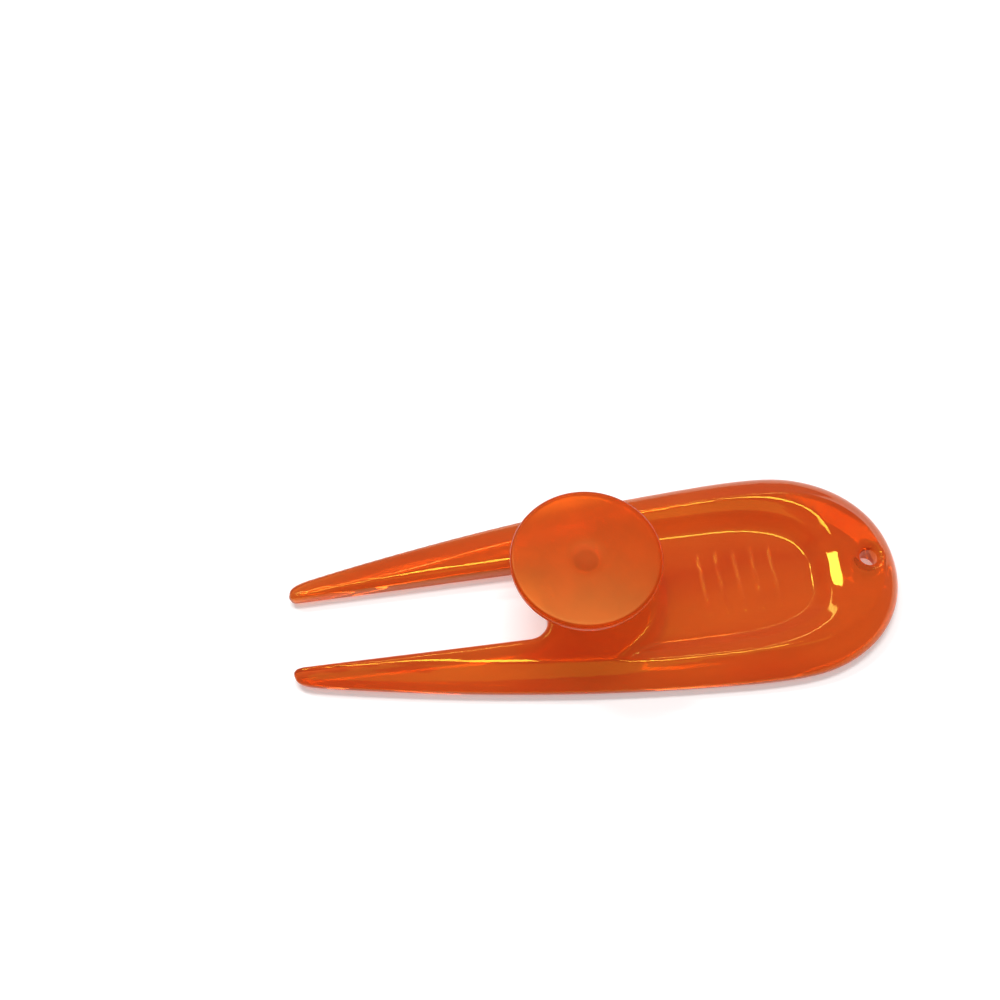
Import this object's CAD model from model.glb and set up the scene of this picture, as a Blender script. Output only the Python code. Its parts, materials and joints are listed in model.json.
import bmesh
import bpy
import json
import math
from mathutils import Matrix, Vector

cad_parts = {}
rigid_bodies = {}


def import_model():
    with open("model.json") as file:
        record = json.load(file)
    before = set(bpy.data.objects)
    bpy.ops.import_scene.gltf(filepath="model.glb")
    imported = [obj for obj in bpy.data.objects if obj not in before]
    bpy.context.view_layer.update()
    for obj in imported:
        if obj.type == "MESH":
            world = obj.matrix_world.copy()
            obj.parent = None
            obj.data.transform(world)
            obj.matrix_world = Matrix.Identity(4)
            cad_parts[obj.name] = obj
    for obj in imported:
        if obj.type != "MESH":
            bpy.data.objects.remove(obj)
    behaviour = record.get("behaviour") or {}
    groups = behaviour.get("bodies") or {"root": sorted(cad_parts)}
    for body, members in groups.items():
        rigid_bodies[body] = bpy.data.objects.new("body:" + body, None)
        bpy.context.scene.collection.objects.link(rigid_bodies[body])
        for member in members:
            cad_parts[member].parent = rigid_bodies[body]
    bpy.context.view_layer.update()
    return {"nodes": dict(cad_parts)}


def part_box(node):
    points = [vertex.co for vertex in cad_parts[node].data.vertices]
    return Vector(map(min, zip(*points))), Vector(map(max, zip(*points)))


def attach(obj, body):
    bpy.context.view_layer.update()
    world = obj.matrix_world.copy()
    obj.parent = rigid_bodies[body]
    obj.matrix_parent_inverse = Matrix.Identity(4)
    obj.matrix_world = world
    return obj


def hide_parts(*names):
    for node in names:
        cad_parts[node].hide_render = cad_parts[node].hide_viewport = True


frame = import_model()
print("frame loaded:", sorted(frame["nodes"]))

mm = 0.001
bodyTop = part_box("tool_body")[1].z
markerLow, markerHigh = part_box("ball_marker")

cameraSetup = {
    "aim": (-10.63 * mm, 16.13 * mm, 1.68 * mm),
    "azimuth": math.radians(-7.77),
    "elevation": math.radians(60.62),
    "distance": 185.3 * mm,
    "lens": 48.98,
    "sensor": 36.0,
    "nearClip": 5 * mm,
}


def makeCamera(setup):
    data = bpy.data.cameras.new("toolCamera")
    data.lens = setup["lens"]
    data.sensor_width = setup["sensor"]
    data.clip_start = setup["nearClip"]
    camera = bpy.data.objects.new("toolCamera", data)
    bpy.context.scene.collection.objects.link(camera)
    flat = math.cos(setup["elevation"])
    back = Vector((
        math.sin(setup["azimuth"]) * flat,
        -math.cos(setup["azimuth"]) * flat,
        math.sin(setup["elevation"]),
    ))
    camera.location = Vector(setup["aim"]) + back * setup["distance"]
    camera.rotation_euler = back.to_track_quat("Z", "Y").to_euler()
    bpy.context.scene.camera = camera


makeCamera(cameraSetup)
print("camera placed")


class Wire:
    # A socket that takes part in sums, so that a pattern reads as arithmetic.
    def __init__(self, tree, socket):
        self.tree = tree
        self.socket = socket

    def node(self, kind, settings, inputs, output=0):
        made = self.tree.nodes.new(kind)
        for name, value in settings.items():
            setattr(made, name, value)
        for name, value in inputs.items():
            self.feed(made.inputs[name], value)
        return Wire(self.tree, made.outputs[output])

    def feed(self, target, value):
        if isinstance(value, Wire):
            self.tree.links.new(value.socket, target)
        else:
            target.default_value = value

    def math(self, operation, first, second=0.0, clamp=False):
        settings = {"operation": operation, "use_clamp": clamp}
        return self.node("ShaderNodeMath", settings, {0: first, 1: second})

    def __add__(self, other):
        return self.math("ADD", self, other)

    def __radd__(self, other):
        return self.math("ADD", other, self)

    def __sub__(self, other):
        return self.math("SUBTRACT", self, other)

    def __rsub__(self, other):
        return self.math("SUBTRACT", other, self)

    def __mul__(self, other):
        return self.math("MULTIPLY", self, other)

    def __rmul__(self, other):
        return self.math("MULTIPLY", other, self)

    def clamped(self):
        return self.math("ADD", self, 0.0, clamp=True)

    def rampFrom(self, start, slope):
        # 0 up to start, then rising by slope until it reaches 1.
        return ((self - start) * slope).clamped()


def newMaterial(name):
    material = bpy.data.materials.new(name)
    material.use_nodes = True
    shader = next(n for n in material.node_tree.nodes if n.type == "BSDF_PRINCIPLED")
    return material, shader


def objectPlace(material):
    objectSocket = 3  # of Texture Coordinate
    tree = material.node_tree
    return Wire(tree, None).node("ShaderNodeTexCoord", {}, {}, output=objectSocket)


def noise(place, size, detail, stretch=(1, 1, 1)):
    # Soft noise whose lumps are about size metres across, drawn out by stretch.
    scaled = place.node("ShaderNodeMapping", {}, {"Vector": place, "Scale": stretch})
    inputs = {"Vector": scaled, "Scale": 1 / size, "Detail": detail, "Roughness": 0.5}
    return place.node("ShaderNodeTexNoise", {}, inputs)


def blendColour(place, amount, first, second):
    # Sockets 6 and 7 and output 2 of a Mix node are its colours.
    settings = {"data_type": "RGBA"}
    return place.node("ShaderNodeMix", settings, {0: amount, 6: first, 7: second}, output=2)


flowMarks = {
    "detail": 3.0,
    "start": 0.35,  # noise value at which the light colour sets in
    "slope": 3.2,
}


def flowColour(place, look):
    # Slow drifts of colour, left where the plastic ran into the mould.
    flow = noise(place, look["flow"], flowMarks["detail"], look["flowStretch"])
    amount = flow.rampFrom(flowMarks["start"], flowMarks["slope"])
    return blendColour(place, amount, look["deep"], look["light"])


scratchLines = {
    "stretch": (0.02, 1, 0.3),  # each line runs far before it breaks
    "detail": 1.0,
    "slope": 14,  # sharpness of a line's edges
    "patchSize": 20,  # of a scratched patch, in line spacings
    "patchStart": 0.45,
    "patchSlope": 5,
}


def scratches(place, look):
    # Thin broken lines: the crests of a long-drawn noise, in one direction for each set.
    lines = scratchLines
    patches = noise(place, look["scratch"] * lines["patchSize"], lines["detail"])
    amount = 0.0
    for turn, share in look["scratchSets"]:
        turned = place.node("ShaderNodeMapping", {}, {"Vector": place, "Rotation": (0, 0, turn)})
        crests = noise(turned, look["scratch"], lines["detail"], lines["stretch"])
        amount = amount + crests.rampFrom(share, lines["slope"])
    return amount * patches.rampFrom(lines["patchStart"], lines["patchSlope"])


def finishPlastic(material, shader, place, look, rough, relief):
    # What both plastics share: their relief, gloss and tint that deepens with thickness.
    place.feed(shader.inputs["Roughness"], rough)
    bump = place.node("ShaderNodeBump", {}, {"Height": relief, "Distance": 1.0, "Strength": 1.0})
    place.feed(shader.inputs["Normal"], bump)
    constants = {
        "Transmission Weight": look["transmission"],
        "IOR": look["ior"],
        "Specular Tint": look["highlight"],
        "Specular IOR Level": look["shine"],
        "Emission Color": look["glow"],
        "Emission Strength": look["glowStrength"],
    }
    for name, value in constants.items():
        shader.inputs[name].default_value = value
    tree = material.node_tree
    absorb = tree.nodes.new("ShaderNodeVolumeAbsorption")
    absorb.inputs["Color"].default_value = look["absorbColour"]
    absorb.inputs["Density"].default_value = look["absorbDensity"]
    output = next(n for n in tree.nodes if n.type == "OUTPUT_MATERIAL")
    tree.links.new(absorb.outputs[0], output.inputs["Volume"])
    return material


bodyPlastic = {
    "deep": (0.63, 0.098, 0.024, 1),  # where the moulding is dense
    "light": (0.74, 0.19, 0.034, 1),
    "glow": (0.80, 0.13, 0.035, 1),
    "glowStrength": 0.08,
    "absorbColour": (0.945, 0.60, 0.10, 1),
    "absorbDensity": 300.0,
    "transmission": 0.80,
    "ior": 1.49,
    "gloss": 0.035,  # roughness of clean plastic
    "haze": 0.10,  # added where it is rubbed or scratched
    "highlight": (1.0, 0.75, 0.06, 1),
    "shine": 1.0,  # specular level
    "flow": 9 * mm,  # size of the flow marks
    "flowStretch": (0.35, 1, 1),
    "rubbed": 8.4 * mm,  # size of the rubbed patches
    "rubbedDetail": 4.0,
    "rubbedStart": 0.45,
    "rubbedSlope": 3,
    "rubbedShare": 0.6,  # of the haze
    "scratchShare": 0.5,
    "wave": 14 * mm,  # size of the surface's slow waves
    "waveHeight": 0.05 * mm,
    "scratch": 0.9 * mm,
    "scratchDepth": 0.001 * mm,
    "scratchSets": [(0.35, 0.63), (-0.5, 0.65)],  # direction, and noise value where a line starts
    "grain": 0.25 * mm,
    "grainHeight": 0.001 * mm,
}


def makeBodyPlastic(look):
    material, shader = newMaterial("bodyPlastic")
    place = objectPlace(material)
    place.feed(shader.inputs["Base Color"], flowColour(place, look))
    rubbed = noise(place, look["rubbed"], look["rubbedDetail"])
    rubbed = rubbed.rampFrom(look["rubbedStart"], look["rubbedSlope"])
    fine = scratches(place, look)
    hazy = rubbed * look["rubbedShare"] + fine.clamped() * look["scratchShare"]
    rough = look["gloss"] + look["haze"] * hazy
    waves = noise(place, look["wave"], 1.0) * look["waveHeight"]
    grain = noise(place, look["grain"], 2.0) * look["grainHeight"]
    relief = waves + grain - fine * look["scratchDepth"]
    return finishPlastic(material, shader, place, look, rough, relief)


markerPlastic = {
    "deep": (0.62, 0.095, 0.008, 1),
    "light": (0.80, 0.115, 0.008, 1),
    "glow": (0.90, 0.17, 0.020, 1),
    "glowStrength": 0.07,
    "absorbColour": (0.945, 0.60, 0.10, 1),
    "absorbDensity": 420.0,
    "transmission": 0.80,
    "ior": 1.49,
    "gloss": 0.10,
    "satin": 0.26,  # roughness of the textured top
    "highlight": (1.0, 0.65, 0.15, 1),
    "shine": 0.14,
    "core": (0.82, 0.080, 0.008, 1),  # over the peg, where the plastic is thick
    "coreRadius": 1.75 * mm,
    "coreFade": 0.9 * mm,
    "topDepth": 0.6 * mm,  # how far down the rim the texture reaches
    "flow": 7 * mm,
    "flowStretch": (1, 1, 1),
    "grain": 0.16 * mm,
    "grainHeight": 0.006 * mm,
    "grainRoughness": 0.08,
    "scratch": 0.7 * mm,
    "scratchDepth": 0.002 * mm,
    "scratchSets": [(0.8, 0.61)],
}


def makeMarkerPlastic(look, low, high):
    material, shader = newMaterial("markerPlastic")
    place = objectPlace(material)
    height = place.node("ShaderNodeSeparateXYZ", {}, {0: place}, output=2)
    topStart = high.z - look["topDepth"]
    above = height.rampFrom(topStart, 2 / look["topDepth"])
    axis = (low + high) / 2
    flatten = {"Vector": place, "Location": (-axis.x, -axis.y, 0), "Scale": (1, 1, 0)}
    centred = place.node("ShaderNodeMapping", {}, flatten)
    spread = place.node("ShaderNodeVectorMath", {"operation": "LENGTH"}, {0: centred}, output=1)
    core = ((look["coreRadius"] - spread) * (1 / look["coreFade"]) + 0.5).clamped() * above
    colour = blendColour(place, core, flowColour(place, look), look["core"])
    place.feed(shader.inputs["Base Color"], colour)
    grain = noise(place, look["grain"], 1.0)
    satin = look["satin"] - look["gloss"] + grain * look["grainRoughness"]
    rough = look["gloss"] + above * satin
    relief = grain * above * look["grainHeight"] - scratches(place, look) * look["scratchDepth"]
    return finishPlastic(material, shader, place, look, rough, relief)


mould = {
    "weld": 0.001 * mm,
    "voxel": 0.25 * mm,
    "smoothings": 3,
    "smoothShare": 0.5,
}

gripRibs = {
    "count": 5,
    "middle": 19.09 * mm,  # along the tool, from its middle
    "pitch": 2.4 * mm,
    "length": 9.0 * mm,
    "width": 0.45 * mm,
    "height": 0.18 * mm,
    "margin": 0.42 * mm,  # of finer mesh around each rib
    "cuts": 3,
    "fade": 0.5 * mm,  # slope at each end
    "level": bodyTop * 0.2,  # a height between the underside and the recess floor
    "facingUp": 0.5,
}


def softenMesh(piece, voxel):
    remesh = piece.modifiers.new("soften", "REMESH")
    remesh.mode = "VOXEL"
    remesh.voxel_size = voxel
    graph = bpy.context.evaluated_depsgraph_get()
    softened = bpy.data.meshes.new_from_object(piece.evaluated_get(graph))
    piece.modifiers.clear()
    piece.data = softened
    return softened


def ribCentres(look):
    start = look["middle"] - (look["count"] - 1) / 2 * look["pitch"]
    return [start + number * look["pitch"] for number in range(look["count"])]


def ribRise(look, across, along):
    # Height of a rib over the recess floor: a soft round crest with a hollow foot.
    half = look["width"] / 2
    if across >= half:
        return 0.0
    crest = look["height"] * (1 + math.cos(math.pi * across / half)) / 2
    return crest * min(max((look["length"] / 2 - along) / look["fade"], 0.0), 1.0)


def raiseRibs(shell, look):
    # Crisp ribs: the softened floor is made level again and then lifted rib by rib.
    centres = ribCentres(look)
    reach = look["width"] / 2 + look["margin"]
    end = look["length"] / 2 + look["margin"]

    def acrossRib(place):
        return min(abs(place.x - centre) for centre in centres)

    def nearRib(place):
        return acrossRib(place) < reach and abs(place.y) < end and place.z > look["level"]

    near = [
        face for face in shell.faces
        if face.normal.z > look["facingUp"] and nearRib(face.calc_center_median())
    ]
    floorHeight = min(face.calc_center_median().z for face in near)
    edges = list({edge for face in near for edge in face.edges})
    bmesh.ops.subdivide_edges(shell, edges=edges, cuts=look["cuts"], use_grid_fill=True)
    for vert in shell.verts:
        if nearRib(vert.co) and vert.co.z < floorHeight + look["height"] * 2:
            vert.co.z = floorHeight + ribRise(look, acrossRib(vert.co), abs(vert.co.y))


def mouldedBody(look, ribs):
    # The designed body with every edge softened, as a mould leaves it.
    shell = bmesh.new()
    shell.from_mesh(frame["nodes"]["tool_body"].data)
    bmesh.ops.remove_doubles(shell, verts=shell.verts, dist=look["weld"])
    data = bpy.data.meshes.new("mouldedBody")
    shell.to_mesh(data)
    shell.free()
    piece = bpy.data.objects.new("mouldedBody", data)
    bpy.context.scene.collection.objects.link(piece)
    softened = softenMesh(piece, look["voxel"])
    shell = bmesh.new()
    shell.from_mesh(softened)
    for turn in range(look["smoothings"]):
        bmesh.ops.smooth_vert(
            shell, verts=shell.verts, factor=look["smoothShare"],
            use_axis_x=True, use_axis_y=True, use_axis_z=True,
        )
    raiseRibs(shell, ribs)
    for face in shell.faces:
        face.smooth = True
    shell.to_mesh(softened)
    shell.free()
    print("moulded body:", len(softened.polygons), "faces")
    return piece


markerShape = {
    "pegTip": 1.35 * mm,
    "tipRounding": 0.98,  # share of the tip's radius
    "pegRoot": 1.55 * mm,
    "pegFillet": 0.7 * mm,
    "thickness": 1.3 * mm,
    "rim": 0.5 * mm,
    "hollow": 0.25 * mm,
    "crown": 0.2 * mm,
    "sink": 0.05 * mm,  # dimple over the peg, where the thick plastic shrank
    "sinkRadius": 1.9 * mm,
    "rings": 24,  # steps from the rim to the middle of the top
    "turns": 144,
    "rounding": 8,
    "weld": 0.001 * mm,
}


def crownHeight(look, distance, radius):
    # A shallow dome with a round dimple in its middle.
    dome = look["crown"] * (1 - (distance / radius) ** 2)
    return dome - look["sink"] * math.exp(-((distance / look["sinkRadius"]) ** 4))


def turnedMarker(look, low, high):
    # The marker's half section, spun about the peg's axis.
    middle = (low + high) / 2
    radius = (high.x - low.x) / 2
    top = high.z - look["crown"]
    under = top - look["thickness"]
    shape = bmesh.new()
    corners = [
        (0, low.z, 0),
        (look["pegTip"], low.z, look["pegTip"] * look["tipRounding"]),
        (look["pegRoot"], under + look["hollow"], look["pegFillet"]),
        (radius, under, look["rim"]),
        (radius, top, look["rim"]),
    ]
    verts = [shape.verts.new((middle.x + x, middle.y, z)) for x, z, rounding in corners]
    for step in range(1, look["rings"] + 1):
        distance = (radius - look["rim"]) * (1 - step / look["rings"])
        height = top + crownHeight(look, distance, radius)
        verts.append(shape.verts.new((middle.x + distance, middle.y, height)))
    for first, second in zip(verts, verts[1:]):
        shape.edges.new((first, second))
    for vert, (x, z, rounding) in zip(verts, corners):
        if rounding:
            bmesh.ops.bevel(
                shape, geom=[vert], offset=rounding, affect="VERTICES", segments=look["rounding"],
                profile=0.5, material=-1, clamp_overlap=True,
            )
    bmesh.ops.spin(
        shape, geom=shape.verts[:] + shape.edges[:], cent=middle, axis=(0, 0, 1),
        angle=math.tau, steps=look["turns"], use_merge=True,
    )
    bmesh.ops.remove_doubles(shape, verts=shape.verts, dist=look["weld"])
    bmesh.ops.recalc_face_normals(shape, faces=shape.faces)
    for face in shape.faces:
        face.smooth = True
    data = bpy.data.meshes.new("turnedMarker")
    shape.to_mesh(data)
    shape.free()
    piece = bpy.data.objects.new("turnedMarker", data)
    bpy.context.scene.collection.objects.link(piece)
    print("turned marker:", len(data.polygons), "faces")
    return piece


def handOver(piece, material, node):
    # The finished piece takes the place of a designed node and moves with its body.
    piece.data.materials.clear()
    piece.data.materials.append(material)
    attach(piece, node)
    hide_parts(node)


bodyPiece = mouldedBody(mould, gripRibs)
handOver(bodyPiece, makeBodyPlastic(bodyPlastic), "tool_body")
markerPiece = turnedMarker(markerShape, markerLow, markerHigh)
markerMaterial = makeMarkerPlastic(markerPlastic, markerLow, markerHigh)
handOver(markerPiece, markerMaterial, "ball_marker")
print("both pieces in their plastics")

floorLook = {
    "size": 4.0,
    "height": -0.05 * mm,
    "colour": (0.90, 0.90, 0.90, 1),
    "roughness": 0.6,
    "glow": 0.26,  # light from under the sweep, as on a light table
}
lightLook = {
    "world": 0.28,
    "lamps": [
        {"name": "overheadSoftbox", "place": (0.0, 0.116, 0.486), "size": (0.26, 0.08), "power": 1.2},
        {"name": "frontFill", "place": (0.0, -0.14, 0.48), "size": (0.50, 0.14), "power": 0.22},
        {"name": "backStrip", "place": (-0.05, 0.37, 0.33), "size": (0.50, 0.03), "power": 0.5},
        {"name": "ribStrip", "place": (-0.22, 0.245, 0.436), "size": (0.14, 0.05), "power": 0.7},
    ],
}


def makeFloor(look):
    mesh = bmesh.new()
    bmesh.ops.create_grid(mesh, x_segments=1, y_segments=1, size=look["size"] / 2)
    data = bpy.data.meshes.new("floor")
    mesh.to_mesh(data)
    mesh.free()
    data.transform(Matrix.Translation((0, 0, look["height"])))
    floor = bpy.data.objects.new("floor", data)
    bpy.context.scene.collection.objects.link(floor)
    material, shader = newMaterial("paleFloor")
    shader.inputs["Base Color"].default_value = look["colour"]
    shader.inputs["Roughness"].default_value = look["roughness"]
    shader.inputs["Specular IOR Level"].default_value = 0.0
    shader.inputs["Emission Color"].default_value = (1, 1, 1, 1)
    shader.inputs["Emission Strength"].default_value = look["glow"]
    data.materials.append(material)


def makeLight(look):
    world = bpy.data.worlds.new("studio")
    world.use_nodes = True
    background = world.node_tree.nodes["Background"]
    background.inputs["Color"].default_value = (1, 1, 1, 1)
    background.inputs["Strength"].default_value = look["world"]
    bpy.context.scene.world = world
    for lamp in look["lamps"]:
        data = bpy.data.lights.new(lamp["name"], "AREA")
        data.shape = "RECTANGLE"
        data.size, data.size_y = lamp["size"]
        data.energy = lamp["power"]
        light = bpy.data.objects.new(lamp["name"], data)
        light.location = lamp["place"]
        facing = Vector((0, lamp["place"][1], lamp["place"][2]))  # long side along the tool
        light.rotation_euler = facing.to_track_quat("Z", "Y").to_euler()
        bpy.context.scene.collection.objects.link(light)
    bpy.context.scene.view_settings.view_transform = "Standard"


makeFloor(floorLook)
makeLight(lightLook)
print("floor and light ready")
